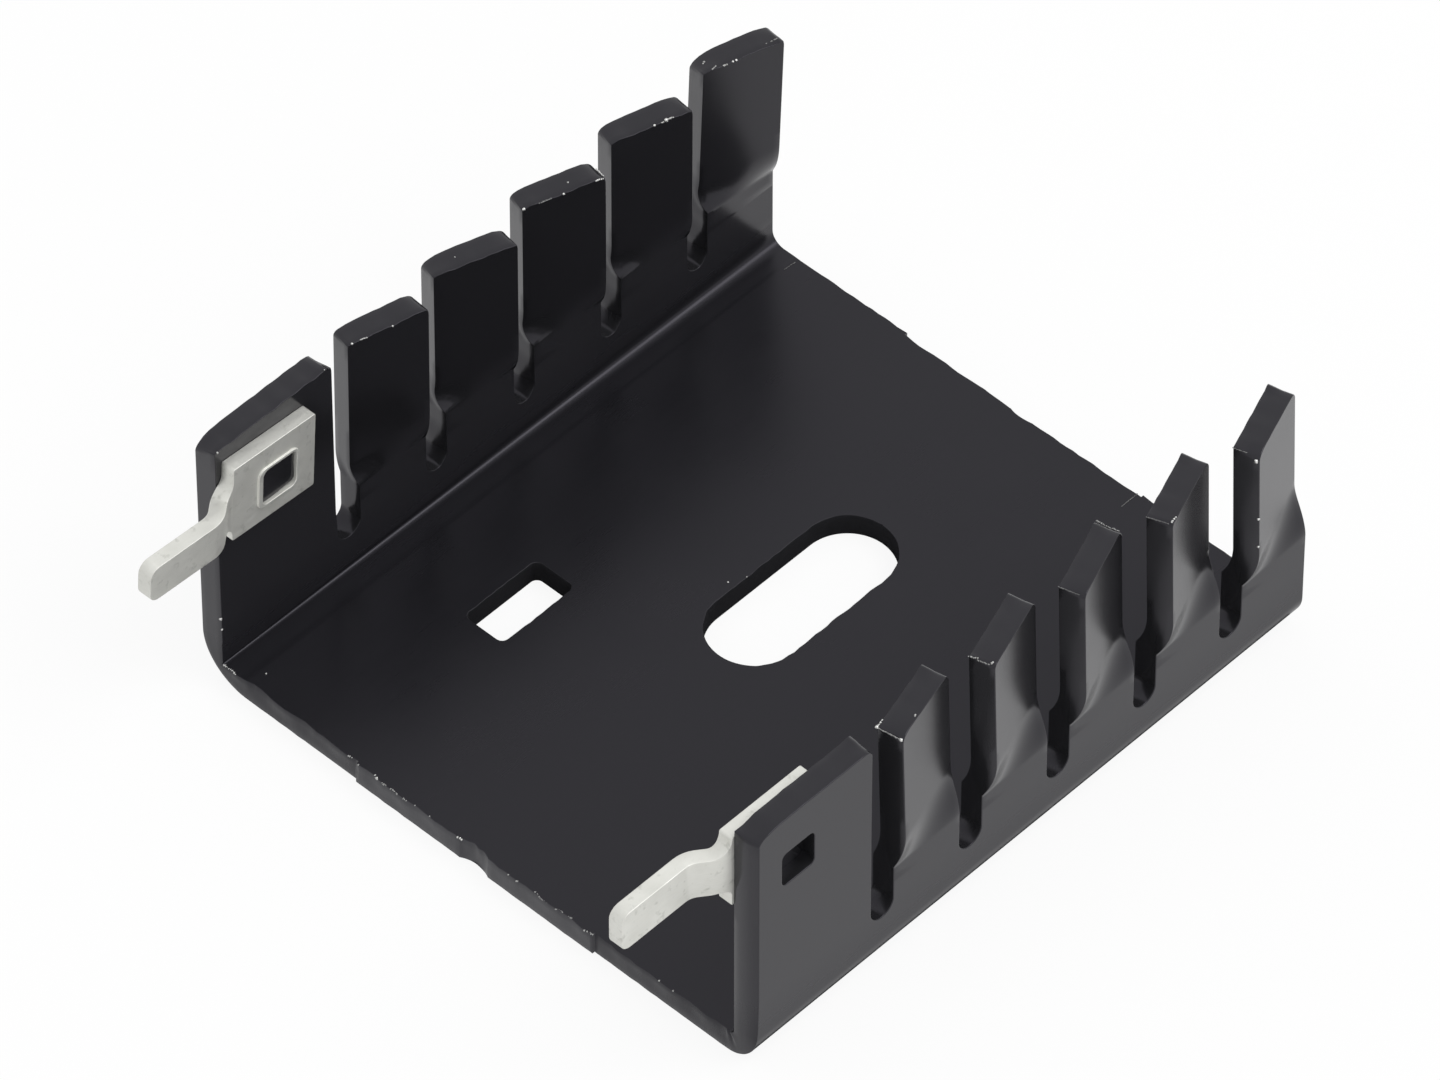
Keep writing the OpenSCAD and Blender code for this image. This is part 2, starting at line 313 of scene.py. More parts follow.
for k in range(round(LONG / RIM_STEP_Y)):
    y = FRONT + RIM_STEP_Y / 2 + RIM_STEP_Y * k
    slice_at(bm, [f for f in bm.faces
                  if f[made] and abs((c := f.calc_center_median()).y - y) < REACH_Y
                  and (abs(c.x) < OPENINGS_X or abs(c.x) > blank_u(side_of(c.x), HIGH - TIP_WEAR))],
             (0, y, 0), (0, 1, 0))
for k in range(-36, 38):             # across the base, from its left bend to its right one
    x = RIM_STEP_X * k
    slice_at(bm, [f for f in bm.faces
                  if f[made] and abs((c := f.calc_center_median()).x) < BASE_X
                  and abs(c.x - x) < REACH_X], (x, 0, 0), (1, 0, 0))
for w in (0.3, 0.5, 0.75):           # and along the rims
    slice_at(bm, [f for f in bm.faces if f[made]], (0, 0, w), (0, 0, 1))


# The cutting tools' wear and tear. In each call of noise the factors are waves per mm, and the
# plain numbers only pick a place in it.
TORN_FROM, TORN_OVER = 0.35, THICK - 0.4          # the sheet tears over the last part of a cut
EDGE_STRIP = 0.35                                 # how wide a strip moves with a ragged edge
FRONT_TORN, FRONT_FINE, FRONT_CUT = 0.13, 0.06, 0.02          # how far the edges wander,
BACK_TORN, BACK_CUT, OPENING_TORN = 0.05, 0.015, 0.055        # where they are torn and cut
FRONT_LEAST = -0.15                               # the front one is torn outward, hardly inward
FRONT_ROLL, FRONT_ROLL_HIGH = 0.2, 0.75           # the right wall's front edge is rolled over
NECK_SWELL, NECK_FOOT = 0.11, 0.9                 # the left necks swelled, more at their feet
NECK_FOOT_Z, NECK_FOOT_OVER = 4.6, 0.8
FLAT_BACK = 0.07                                  # and the flat left finger's back edge moved
DENT, DENT_LONG, DENT_WIDE = 0.1, 0.45, 1.1       # where the punch's end met the left corner
# The outside of a tip sags towards its ends, where the punch dragged it: how much for each
# finger, the flat one first, and over how far
SAG = {(LEFT, "front"): (0.42, 0.15, 0.3, 0.18, 0.2, 0.42), (LEFT, "back"): (0.2,) * 6,
       (RIGHT, "front"): (0.12, 0.2, 0.05, 0.1, 0.0, 0.22), (RIGHT, "back"): (0.12,) * 6}
SAG_LONG = {(LEFT, "front"): 1.1, (LEFT, "back"): 0.7, (RIGHT, "front"): 0.6, (RIGHT, "back"): 0.4}
BACK_FALL, BACK_FALL_LONG = {LEFT: 0.07, RIGHT: 0.03}, 0.7    # its whole thickness falls off there
SHARPENED = {(LEFT, "front"): 0.85, (LEFT, "back"): 0.5,      # its corners are sharp on the inside
             (RIGHT, "front"): 0.85, (RIGHT, "back"): 0}
BACK_BURR = 0.07                                  # the right tips' backs have a drawn-up burr
FLAT_SHORT, FLAT_SLOPE, FLAT_SLOPE_LONG = 0.12, 0.16, 1.6     # the flat right finger came out low
TIP_ROUGH = {LEFT: 1, RIGHT: 0.5}
TIP_WAVE, TIP_TORN, TIP_FINE = 0.05, 0.06, 0.03


def ragged(p, side, torn):
    """How far back the cut-off edges and the right wall's front edge moved."""
    u, y, w = abs(p.x), p.y, p.z
    dy = 0
    if u < FLAT[side] + 0.5 and y < FRONT + EDGE_STRIP:
        near = ease((FRONT + EDGE_STRIP - y) / 0.3)
        dy = near * (torn * FRONT_TORN * max(noise.noise((p.x * 1.1, 3.7, 0)), FRONT_LEAST)
                     + torn * FRONT_FINE * noise.noise((p.x * 3.3, 9, w))
                     - FRONT_CUT * noise.noise((p.x * 2.1, 5, w)))
    if u < FLAT[side] and y > -FRONT - EDGE_STRIP:
        near = ease((y + FRONT + EDGE_STRIP) / 0.2)
        dy = -near * (BACK_TORN * torn + BACK_CUT) * noise.noise((p.x * 1.6, 1.3, w))
    if side == RIGHT and u > FLAT[side] and y < FRONT + 0.3:
        dy += (FRONT_ROLL * max(0, 1 - w / FRONT_ROLL_HIGH) ** 2
               * ease((u - FLAT[side] - 0.5) / 2))
    return dy


def opening_wall(p, side, torn):
    """How far out the walls of the slot and the hole moved."""
    if abs(p.x) >= OPENINGS_X or abs(p.y) >= -FRONT - 1:
        return 0
    centre = 0 if abs(p.x) < SLOT_W / 2 + 0.3 else HOLE_X
    away = 1 if (p.x - centre) * side > 0 else -1
    return away * OPENING_TORN * torn * noise.noise((p.x * 0.7, p.y * 2.6, p.z * 2))


def left_gap_side(z, y, w):
    """How far forward the sides of the gaps between the left fingers moved."""
    into = (y - FRONT - LUG_FINGER - GAP / 2 + PITCH / 2) % PITCH - PITCH / 2    # from mid-gap
    if 0 < into < GAP / 2 + 0.25 and finger_mid(0) < y < -FRONT - 0.5:
        return (NECK_SWELL * ease((z - GAP_FLOOR + 0.3) / 0.4) * ease((TWIST_HI - z) / 1.5)
                * (1 + NECK_FOOT * (1 - w / THICK) * ease((NECK_FOOT_Z - z) / NECK_FOOT_OVER))
                * ease(into / 0.45) * ease((GAP / 2 + 0.25 - into) / 0.2))
    if 0 > into > -GAP / 2 - 0.25 and y < finger_mid(0):
        return FLAT_BACK * ease((z - GAP_FLOOR - 0.6) / 1.5)
    return 0


def tip_wear(side, u, y, w, torn):
    """How far out and how far back a point near a tip moved."""
    n = finger_of(y)
    end = tip_u(side, n)
    if u <= end - TIP_WEAR:
        return 0, 0
    du = dy = 0
    from_mid = y - finger_mid(n)
    for part, to in (("front", -1), ("back", 1)):
        away = finger_width(n) / 2 - to * from_mid
        r, drop, long = CORNER_R[part], SAG[side, part][n + 1], SAG_LONG[side, part]
        du -= drop * max(0, 1 - away / long) ** 2 * (1 - w / THICK)
        a, b = u - (end - r), r - away
        if a > 0 and b > 0:
            grow = SHARPENED[side, part] * ease(w / THICK) * (math.hypot(a, b) / max(a, b) - 1)
            du += a * grow
            dy += to * b * grow
    from_front, from_back = finger_width(n) / 2 + from_mid, finger_width(n) / 2 - from_mid
    du -= BACK_FALL[side] * max(0, 1 - from_back / BACK_FALL_LONG) ** 2
    if side == RIGHT:
        du += BACK_BURR * ease((w - 0.6) / 0.3) * ease(1.7 - from_back / 0.3)
    if side == RIGHT and n < 0:
        du -= FLAT_SHORT + FLAT_SLOPE * ease(1 - from_front / FLAT_SLOPE_LONG)
    du += TIP_ROUGH[side] * ((TIP_WAVE + TIP_TORN * torn) * noise.noise((side * 5, y * 1.9, 0))
                             + TIP_FINE * torn * noise.noise((side * 8, y * 6, 0)))
    return du * ease((u - end + TIP_WEAR) / TIP_WEAR), dy


def worn(p):
    """A point of the blank, moved by what the cutting tools' wear and tear did to its edges."""
    side = side_of(p.x)
    torn = ease((p.z - TORN_FROM) / TORN_OVER)
    dy = ragged(p, side, torn)
    u = abs(p.x) + opening_wall(p, side, torn)
    if side == LEFT:
        dy -= left_gap_side(u - blank_u(side, 0), p.y, p.z)
    tip_du, tip_dy = tip_wear(side, u, p.y, p.z, torn)
    return Vector((side * (u + tip_du), p.y + (dy + tip_dy), p.z))


def in_bend(side, t, y, w):
    """A point at the share t of a bend's arc. The outside follows its wide radius, while the
    inside runs straight, goes round its own sharp corner and runs straight again."""
    outer, inner = OUTER_R[side], inner_r(side, y)
    straight, corner = 0.3, 0.4                  # shares of the arc
    a = t * math.pi / 2
    out = Vector((FLAT[side] + outer * math.sin(a), 0, outer - outer * math.cos(a)))
    room = outer - THICK - inner
    b = min(max((t - straight) / corner, 0), 1) * math.pi / 2
    ins = Vector((FLAT[side] + min(t / straight, 1) * room + inner * math.sin(b), 0,
                  THICK + inner * (1 - math.cos(b))
                  + max((t - (1 - straight)) / straight, 0) * room))
    p = out + (ins - out) * w / THICK
    if side == LEFT and w > THICK / 2:
        deep = (DENT * max(0, 1 - (y - FRONT) / DENT_LONG)
                * max(0, 1 - abs(b - math.pi / 4) / DENT_WIDE))
        p += Vector((deep, 0, -deep))
    return Vector((side * p.x, y, p.z))


def twisted(side, n, x, y, z):
    """A point of a finger on an upright wall, once its neck is twisted."""
    mid_x, mid_y = WIDE / 2 - THICK / 2, finger_mid(n)
    across = (y - mid_y) / FINGER + 0.5
    if side == LEFT:                             # these bent along a slanting crease
        low = TWIST_LO + CREASE_START[n] * (1 - across)
        high, soft = TWIST_HI + (CREASE_START[n] - CREASE_SLANT[side]) * (1 - across), 0
    else:                                        # these begin more softly towards the back
        low, high, soft = TWIST_LO, TWIST_HI + CREASE_SLANT[side] * across, across
    share = min(max((z - low) / (high - low), 0), 1)
    share = share * (2 - share) * (1 - soft) + ease(share) * soft
    turn = math.radians(TWISTS[side][n]) * share
    dx, dy = x - mid_x, y - mid_y
    lean = max(z - TWIST_LO, 0) / (HIGH - TWIST_LO)
    x = mid_x + dx * math.cos(turn) - dy * math.sin(turn) + TIP_LEAN[side][0] * lean
    y = mid_y + dx * math.sin(turn) + dy * math.cos(turn) + TIP_LEAN[side][1] * lean
    if side == LEFT:
        y += LEFT_LEAN[n] * lean
    return Vector((side * x, y, z))


def folded(p):
    """Where a point of the flat blank lies once the sheet is folded up and its fingers twisted."""
    side = side_of(p.x)
    p = worn(p)
    u, y, w = abs(p.x), p.y, p.z
    if u <= FLAT[side]:
        return Vector((side * u, y, w))
    t = (u - FLAT[side]) / BEND_ARC[side]
    if t < 1:
        return in_bend(side, t, y, w)
    x, z, n = WIDE / 2 - w, OUTER_R[side] + u - FLAT[side] - BEND_ARC[side], finger_of(y)
    if n >= 0 and z > NECK_LO:
        return twisted(side, n, x, y, z)
    return Vector((side * x, y, z))


def keep_faces_flat(obj, keep_sharp):
    """Shades the large faces flat up to their rounded edges."""
    weights = obj.modifiers.new("flat faces stay flat", "WEIGHTED_NORMAL")
    weights.weight = 60
    weights.mode = "FACE_AREA"
    weights.keep_sharp = keep_sharp


for f in bm.faces:
    c = f.calc_center_median()
    side = side_of(c.x)
    in_fold = FLAT[side] - BESIDE < abs(c.x) < blank_u(side, OUTER_R[side] + BESIDE)
    f.smooth = bool(in_fold or neck_of(c) or f[made])
    f.material_index = f[made]
for v in bm.verts:
    v.co = folded(v.co) * MM
bm.to_mesh(sheet.data)
bm.free()
keep_faces_flat(sheet, True)
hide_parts("heat_sink_body")
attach(sheet, "root")


def linear(hex_code):
    """An sRGB hex colour as Blender's linear one."""
    values = [int(hex_code[i:i + 2], 16) / 255 for i in (1, 3, 5)]
    return [v / 12.92 if v <= 0.04045 else ((v + 0.055) / 1.055) ** 2.4 for v in values] + [1.0]


def add_node(tree, kind, settings=None, **links):
    """Adds a node with its settings and inputs. An input is iN, its number, or its name with _ for
    the spaces. A socket is linked to it and a value is set. A colour mix mixes i6 and i7."""
    node = tree.nodes.new(kind)
    for key, value in (settings or {}).items():
        setattr(node, key, value)
    for key, value in links.items():
        number = key[0] == "i" and key[1:].isdigit()
        socket = node.inputs[int(key[1:]) if number else key.replace("_", " ")]
        if isinstance(value, bpy.types.NodeSocket):
            tree.links.new(value, socket)
        else:
            socket.default_value = value
    return node


def new_material(name):
    mat = bpy.data.materials.new(name)
    mat.use_nodes = True
    mat.node_tree.nodes.clear()
    return mat, mat.node_tree


# The skin is near black by itself, and what the eye sees of it is the surroundings in its gloss.
# The bending dies polished the walls, so they are a little glossier than the base. Their colour is
# painted a little lighter than the base's: painted light for the brighter reflections on the walls.
BASE_TOP, WALL_FOOT = 1.3, 3.5                   # heights between which one becomes the other
# shares of the lighter colour: on the base and the walls they are painted light, in the grain its
# own tone
BASE_PAINTED_LIGHT, WALL_PAINTED_LIGHT, GRAIN_LIGHT = 0.05, 0.8, 0.15
BASE_ROUGHER = 1.6
SKIN_IOR, SKIN_TINT = 1.39, (0.90, 0.87, 1.0, 1.0)
SKIN_BUMP = 0.00002                              # metres


def anodised(name, dark, light, smooth, rough, grain_scale, grain_depth):
    """Black anodised aluminium: a dyed oxide skin a few micrometres thick, over the grain that the
    metal had before. The grain's scale is in waves per mm."""
    mat, tree = new_material(name)
    metres = add_node(tree, "ShaderNodeTexCoord").outputs["Object"]
    place = add_node(tree, "ShaderNodeVectorMath", {"operation": "SCALE"}, i0=metres,
                     Scale=1 / MM).outputs[0]
    stretched = add_node(tree, "ShaderNodeMapping", Vector=place, Scale=grain_scale).outputs[0]
    grain = add_node(tree, "ShaderNodeTexNoise", Vector=stretched, Scale=1.0, Detail=3.0,
                     Roughness=0.6).outputs[0]
    cloud = add_node(tree, "ShaderNodeTexNoise", Vector=place, Scale=0.22, Detail=2.0).outputs[0]
    both = add_node(tree, "ShaderNodeMath", {"operation": "MULTIPLY_ADD"}, i0=grain, i1=0.6,
                    i2=cloud).outputs[0]
    mix = add_node(tree, "ShaderNodeMapRange", i0=both, From_Min=0.6, From_Max=1.0).outputs[0]
    height = add_node(tree, "ShaderNodeSeparateXYZ", i0=place).outputs["Z"]
    # painted light: the walls take more of the lighter colour than the base
    wall_painted_light = add_node(tree, "ShaderNodeMapRange", i0=height, From_Min=BASE_TOP,
                       From_Max=WALL_FOOT, To_Min=BASE_PAINTED_LIGHT, To_Max=WALL_PAINTED_LIGHT).outputs[0]
    shade = add_node(tree, "ShaderNodeMath", {"operation": "MULTIPLY_ADD", "use_clamp": True},
                     i0=mix, i1=GRAIN_LIGHT, i2=wall_painted_light).outputs[0]
    tone = add_node(tree, "ShaderNodeMix", {"data_type": "RGBA"}, i0=shade, i6=linear(dark),
                    i7=linear(light)).outputs[2]
    gloss = add_node(tree, "ShaderNodeMapRange", i0=mix, To_Min=smooth, To_Max=rough).outputs[0]
    duller = add_node(tree, "ShaderNodeMapRange", i0=height, From_Min=BASE_TOP,
                      From_Max=WALL_FOOT, To_Min=BASE_ROUGHER, To_Max=1.0).outputs[0]
    gloss = add_node(tree, "ShaderNodeMath", {"operation": "MULTIPLY"}, i0=gloss,
                     i1=duller).outputs[0]
    bump = add_node(tree, "ShaderNodeBump", Height=grain, Strength=grain_depth,
                    Distance=SKIN_BUMP).outputs[0]
    shader = add_node(tree, "ShaderNodeBsdfPrincipled", Base_Color=tone, Roughness=gloss,
                      Normal=bump, IOR=SKIN_IOR, Specular_Tint=SKIN_TINT)
    add_node(tree, "ShaderNodeOutputMaterial", Surface=shader.outputs[0])
    sheet.data.materials.append(mat)


# The rolled faces have a faint grain along the bends
anodised("black_anodised_aluminium", "#121215", "#1d1d1f", 0.17, 0.21, (9, 0.7, 9), 0.01)
# The fingers' edges are nearly as smooth, drawn by the punch
anodised("black_anodised_punched_edge", "#19191b", "#232325", 0.15, 0.26, (5, 5, 0.7), 0.08)
# The cut-off edges are grey and streaked through the thickness
anodised("black_anodised_sheared_edge", "#38383a", "#464647", 0.2, 0.28, (5, 5, 0.7), 0.3)
# The walls of the base's openings are dull
anodised("black_anodised_torn_edge", "#202022", "#2a2a2c", 0.24, 0.34, (4, 4, 3), 0.5)

# --------------------------------------------------------- bare-metal burrs
# Where the black skin chipped off the rims, or a burr broke after anodising, the bare aluminium
# shines. These rows of small ragged grains of metal lie on the flat blank and are folded up with
# it. They are no part of the product on their own and ride on the body.

# By finger: from one point of the tip to another, each as the share of the finger's width from
# its front, the height in the thickness and the depth under the tip, then how thick the burr is
# and how bare
TIP_BURRS = {
    (RIGHT, 0): [(0, THICK, 0, 0, 0.12, 0, 0.035, 0.45), (0, THICK, 0, 0.12, THICK, 0, 0.05, 0.8),
                 (0.01, 0.16, 0.02, 0.01, 0.1, 0.12, 0.11, 1), (0, THICK, 0, 0, THICK, 0, 0.09, 1),
                 (0.3, 0.1, 0, 0.33, 0.1, 0, 0.05, 0.6)],
    (RIGHT, 1): [(0, THICK, 0, 0.02, 0.7, 0, 0.045, 0.45), (0, 0.7, 0, 0, 0.2, 0, 0.035, 0.3),
                 (0.02, 0.2, 0, 0.05, 0.15, 0, 0.06, 0.6)],
    (RIGHT, 2): [(0, THICK, 0, 0, 0.2, 0, 0.03, 0.2), (1, THICK, 0.05, 1, 0.1, 0.05, 0.05, 0.35)],
    (RIGHT, 3): [(0, THICK, 0, 0, 0.15, 0, 0.025, 0.2), (0.02, 0.1, 0, 0.12, 0.05, 0, 0.05, 0.8)],
    (RIGHT, 4): [(0, THICK, 0.02, 0.01, 0.5, 0.02, 0.025, 0.25),
                 (0, 0.12, 0.1, 0, 0.12, 0.3, 0.08, 1), (0, 0.05, 3.5, 0, 0.05, 3.5, 0.08, 1),
                 (0, 0.05, 5.0, 0, 0.05, 5.0, 0.07, 1)],
    (LEFT, 0): [(0.05, THICK, 0, 0.06, THICK, 0, 0.06, 1),
                (0.15, THICK, 0, 0.25, THICK, 0, 0.035, 0.6),
                (0.55, THICK, 0, 0.56, THICK, 0, 0.045, 1)],
    (LEFT, 1): [(0.32, 0.5, 0, 0.34, 0.5, 0, 0.05, 0.4)],
    (LEFT, 2): [(0.02, THICK, 0, 0.02, THICK, 0, 0.08, 1), (0.48, THICK, 0, 0.5, THICK, 0, 0.07, 1),
                (0.2, THICK, 0, 0.35, THICK, 0, 0.04, 0.3), (0.6, 0.6, 0, 0.62, 0.6, 0, 0.05, 0.5),
                (0.87, THICK, 0, 0.97, THICK, 0, 0.05, 1), (1, 0.2, 0.1, 1, 0.8, 0.1, 0.05, 0.8)],
    (LEFT, 3): [(0.53, THICK, 0, 0.54, THICK, 0, 0.07, 1),
                (0.6, THICK, 0, 0.76, THICK, 0, 0.045, 0.7),
                (0.66, THICK, 0, 0.69, THICK, 0, 0.1, 1)],
    (LEFT, 4): [(0.35, THICK, 0, 0.42, THICK, 0, 0.08, 1),
                (0.24, THICK, 0, 0.3, THICK, 0, 0.05, 0.6),
                (0.1, THICK, 0, 0.18, 0.9, 0, 0.04, 0.5), (0.8, 0.85, 0, 0.95, 0.8, 0, 0.035, 0.35),
                (0.08, 0.5, 0, 0.12, 0.45, 0, 0.05, 0.5)],
    (LEFT, -1): [(0.02, THICK, 0, 0.02, THICK, 0, 0.05, 0.6),
                 (0.93, THICK, 0, 0.93, THICK, 0, 0.04, 0.5)],
}
FRONT_BURRS = [  # from and to across the front edge, thickness and bareness
    (-6.6, -6.4, 0.05, 0.6), (-6.0, -5.95, 0.05, 0.5), (-5.2, -4.95, 0.05, 0.7),
    (-4.75, -4.46, 0.04, 0.4), (-4.3, -3.9, 0.045, 0.4), (-3.64, -3.44, 0.04, 0.4),
    (-3.1, -3.05, 0.04, 0.6), (-2.4, -2.2, 0.045, 0.5), (-0.85, -0.6, 0.06, 0.8),
    (1.78, 1.84, 0.045, 0.5), (2.2, 2.3, 0.05, 0.5), (3.05, 3.15, 0.045, 0.4),
    (3.2, 3.8, 0.035, 0.4), (4.2, 4.55, 0.035, 0.4), (4.8, 5.0, 0.04, 0.4),
    (5.67, 6.1, 0.045, 0.6), (9.35, 9.4, 0.05, 0.8), (10.08, 10.1, 0.05, 0.5),
]
# Two points of the base, thickness and bareness: chips on it, scratches beside the back edge and
# a burr where the front edge meets the left bend
CORNER_X = FLAT[LEFT] + 0.42 * BEND_ARC[LEFT]
BASE_BURRS = [
    ((-11.65, -14.24), (-11.65, -14.24), 0.05, 0.8), ((-2.28, 1.0), (-2.28, 1.0), 0.05, 0.8),
    ((-1.94, 1.66), (-1.94, 1.66), 0.05, 0.8), ((5.9, 14.0), (5.9, 14.9), 0.03, 0.2),
    ((-11.8, 14.2), (-11.75, 14.8), 0.03, 0.2),
    ((-CORNER_X, FRONT + 0.02), (-CORNER_X + 0.8, FRONT + 0.02), 0.045, 0.7),
]
WALL_CHIPS = [(3.0, 0.06), (3.6, 0.08)]          # heights on the left wall's front edge, sizes
FLOOR_BURR, FLOOR_BARE = 0.06, 0.12              # round the front of the right gaps' floors

burrs = bmesh.new()
bareness = burrs.faces.layers.float.new("bareness")
noise.seed_set(1)                                # noise_vector follows the clock without it


def tip_point(side, n, share, w, below):
    return Vector((side * (tip_u(side, n) - below),
                   finger_mid(n) + (share - 0.5) * finger_width(n), w))


def burr_along(a, b, radius, bare):
    """A row of small ragged grains from one place of the blank to another."""
    count = max(1, round((b - a).length / (1.3 * radius)))
    for k in range(count):
        seed = len(burrs.verts) * 0.37
        size = radius * (0.75 + 0.6 * noise.noise((seed, 2, 5)))
        off = noise.noise_vector((seed, 7, 1)) * radius * 0.6
        spot = folded(a.lerp(b, (k + 0.5) / count)) + off
        grain = bmesh.ops.create_icosphere(burrs, subdivisions=2, radius=size)["verts"]
        for v in grain:
            v.co *= 1 + 0.5 * noise.noise(v.co * 2.1 / size + Vector((seed, 0, 0)))
            v.co = (v.co + spot) * MM
        for f in {f for v in grain for f in v.link_faces}:
            f[bareness] = bare


for (side, n), row in TIP_BURRS.items():
    for share_a, w_a, below_a, share_b, w_b, below_b, radius, bare in row:
        burr_along(tip_point(side, n, share_a, w_a, below_a),
                   tip_point(side, n, share_b, w_b, below_b), radius, bare)
for x_a, x_b, radius, bare in FRONT_BURRS:
    on_step = max(abs(x_a), abs(x_b)) < CUTOFF_W / 2 + 0.1
    y = FRONT - (CUTOFF_STEP if on_step else 0) + 0.03
    burr_along(Vector((x_a, y, THICK - 0.02)), Vector((x_b, y, THICK - 0.02)), radius, bare)
for place_a, place_b, radius, bare in BASE_BURRS:
    burr_along(Vector((*place_a, THICK)), Vector((*place_b, THICK)), radius, bare)
for z, radius in WALL_CHIPS:
    place = Vector((-blank_u(LEFT, z), FRONT, THICK))
    burr_along(place, place, radius, 0.8)
for i in range(FINGERS):
    u, y = blank_u(RIGHT, GAP_FLOOR + GAP / 2), FRONT + LUG_FINGER + PITCH * i + GAP / 2
    ring = [Vector((u - GAP / 2 * math.sin(a), y - GAP / 2 * math.cos(a), THICK))
            for a in (math.radians(v) for v in range(-10, 91, 20))]
    for a, b in zip(ring, ring[1:]):
        burr_along(a, b, FLOOR_BURR, FLOOR_BARE)

metal_burrs = as_object(burrs, "bare_metal_burrs")
for polygon in metal_burrs.data.polygons:
    polygon.use_smooth = True
# Bare aluminium, from smeared over with what is left of the skin to bright
bare, tree = new_material("bare_aluminium")
how_bare = add_node(tree, "ShaderNodeAttribute", {"attribute_name": "bareness"}).outputs["Fac"]
tone = add_node(tree, "ShaderNodeMix", {"data_type": "RGBA"}, i0=how_bare, i6=linear("#3c3c3e"),
                i7=linear("#dcdcda")).outputs[2]
shader = add_node(tree, "ShaderNodeBsdfPrincipled", Base_Color=tone, Roughness=0.4, Metallic=1.0)
add_node(tree, "ShaderNodeOutputMaterial", Surface=shader.outputs[0])
metal_burrs.data.materials.append(bare)
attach(metal_burrs, "root")

# --------------------------------------------------------------- solder lugs
# Each lug is a strip of thin steel, stamped, bent and plated with dull tin. The clinching
# punch pressed a plug of the body's sheet into its square hole and raised a lip round it.

LUG_T, PLATE_L, PLATE_H, PLATE_R = 0.65, 4.3, 3.7, 0.1
PLATE_Z = {LEFT: HIGH - 2.55, RIGHT: HIGH - 2.25}
PIN_Z = {LEFT: HIGH - 2.84, RIGHT: HIGH - 2.1}
PIN_H = {LEFT: 1.65, RIGHT: 1.9}
PIN_REACH, PIN_TIP, PIN_HEEL = 5.0, 0.5, 0.45    # how far it sticks out, and its end's two radii
SHOULDER_R, HEEL_R = 0.65, 0.5                   # fillets above and below it
JOG, JOG_TURN, JOG_R = 0.7, math.radians(38), 0.8      # its set-off, by two bends
JOG_ROWS = 14
CLINCH_GAP = 0.03
LIP_W, LIP_H, LIP_ROOT, LIP_FRONT = 0.13, 0.08, 0.2, 0.1     # the raised lip, wider at its front
LUG_RIM = 0.096                                  # how far the strip's rims are rounded
jog_mid = JOG_R + LUG_T / 2
jog_arc = jog_mid * JOG_TURN
jog_run = (JOG - 2 * jog_mid * (1 - math.cos(JOG_TURN))) / math.sin(JOG_TURN)
jog_long = 2 * jog_mid * math.sin(JOG_TURN) + jog_run * math.cos(JOG_TURN)


def bent(p):
    """Where a point of the straight lug strip (x through it, y along, z up) lies once bent."""
    back, across = FRONT - p.y, p.x - LUG_T / 2
    strip_long = 2 * jog_arc + jog_run
    x0 = WIDE / 2 - THICK - LUG_T / 2
    if back <= 0 or back >= jog_long:
        return Vector((x0 + across - (JOG if back > 0 else 0), p.y, p.z))
    s = back * strip_long / jog_long
    if s < jog_arc:
        a = s / jog_mid
        mx, my = x0 - jog_mid * (1 - math.cos(a)), FRONT - jog_mid * math.sin(a)
    elif s < jog_arc + jog_run:
        a, d = JOG_TURN, s - jog_arc
        mx = x0 - jog_mid * (1 - math.cos(a)) - d * math.sin(a)
        my = FRONT - jog_mid * math.sin(a) - d * math.cos(a)
    else:
        a = (strip_long - s) / jog_mid
        mx, my = x0 - JOG + jog_mid * (1 - math.cos(a)), FRONT - jog_long + jog_mid * math.sin(a)
    return Vector((mx + across * math.cos(a), my - across * math.sin(a), p.z))


# Tin plating on steel: matt white metal with a soft, slightly warm shine, a few dull clouds and
# fine scuffs, and darker specks that are painted shade for small dents
tin, tree = new_material("tin_plated_steel")
metres = add_node(tree, "ShaderNodeTexCoord").outputs["Object"]
place = add_node(tree, "ShaderNodeVectorMath", {"operation": "SCALE"}, i0=metres,
                 Scale=1 / MM).outputs[0]
cloud = add_node(tree, "ShaderNodeTexNoise", Vector=place, Scale=0.9, Detail=3.0).outputs[0]
stretched = add_node(tree, "ShaderNodeMapping", Vector=place, Scale=(6, 1.2, 14)).outputs[0]
scuff = add_node(tree, "ShaderNodeTexNoise", Vector=stretched, Scale=1.0, Detail=4.0).outputs[0]
tone = add_node(tree, "ShaderNodeMix", {"data_type": "RGBA"}, i0=cloud, i6=linear("#cecec8"),
                i7=linear("#e4e4df")).outputs[2]
# painted shade: darker specks for the shade of small dents
painted_dent_shade = add_node(tree, "ShaderNodeTexNoise", Vector=place, Scale=2.6, Detail=3.0,
                 Roughness=0.6).outputs[0]
painted_dent_shade = add_node(tree, "ShaderNodeMapRange", i0=painted_dent_shade, From_Min=0.58, From_Max=0.72,
                 To_Max=0.45).outputs[0]
tone = add_node(tree, "ShaderNodeMix", {"data_type": "RGBA"}, i0=painted_dent_shade, i6=tone,
                i7=linear("#a6a79f")).outputs[2]
rough = add_node(tree, "ShaderNodeMapRange", i0=scuff, From_Min=0.3, From_Max=0.7, To_Min=0.5,
                 To_Max=0.65).outputs[0]
bump = add_node(tree, "ShaderNodeBump", Height=scuff, Strength=0.15, Distance=0.00003).outputs[0]
shader = add_node(tree, "ShaderNodeBsdfPrincipled", Base_Color=tone, Roughness=rough,
                  Metallic=0.75, Normal=bump)
add_node(tree, "ShaderNodeOutputMaterial", Surface=shader.outputs[0])

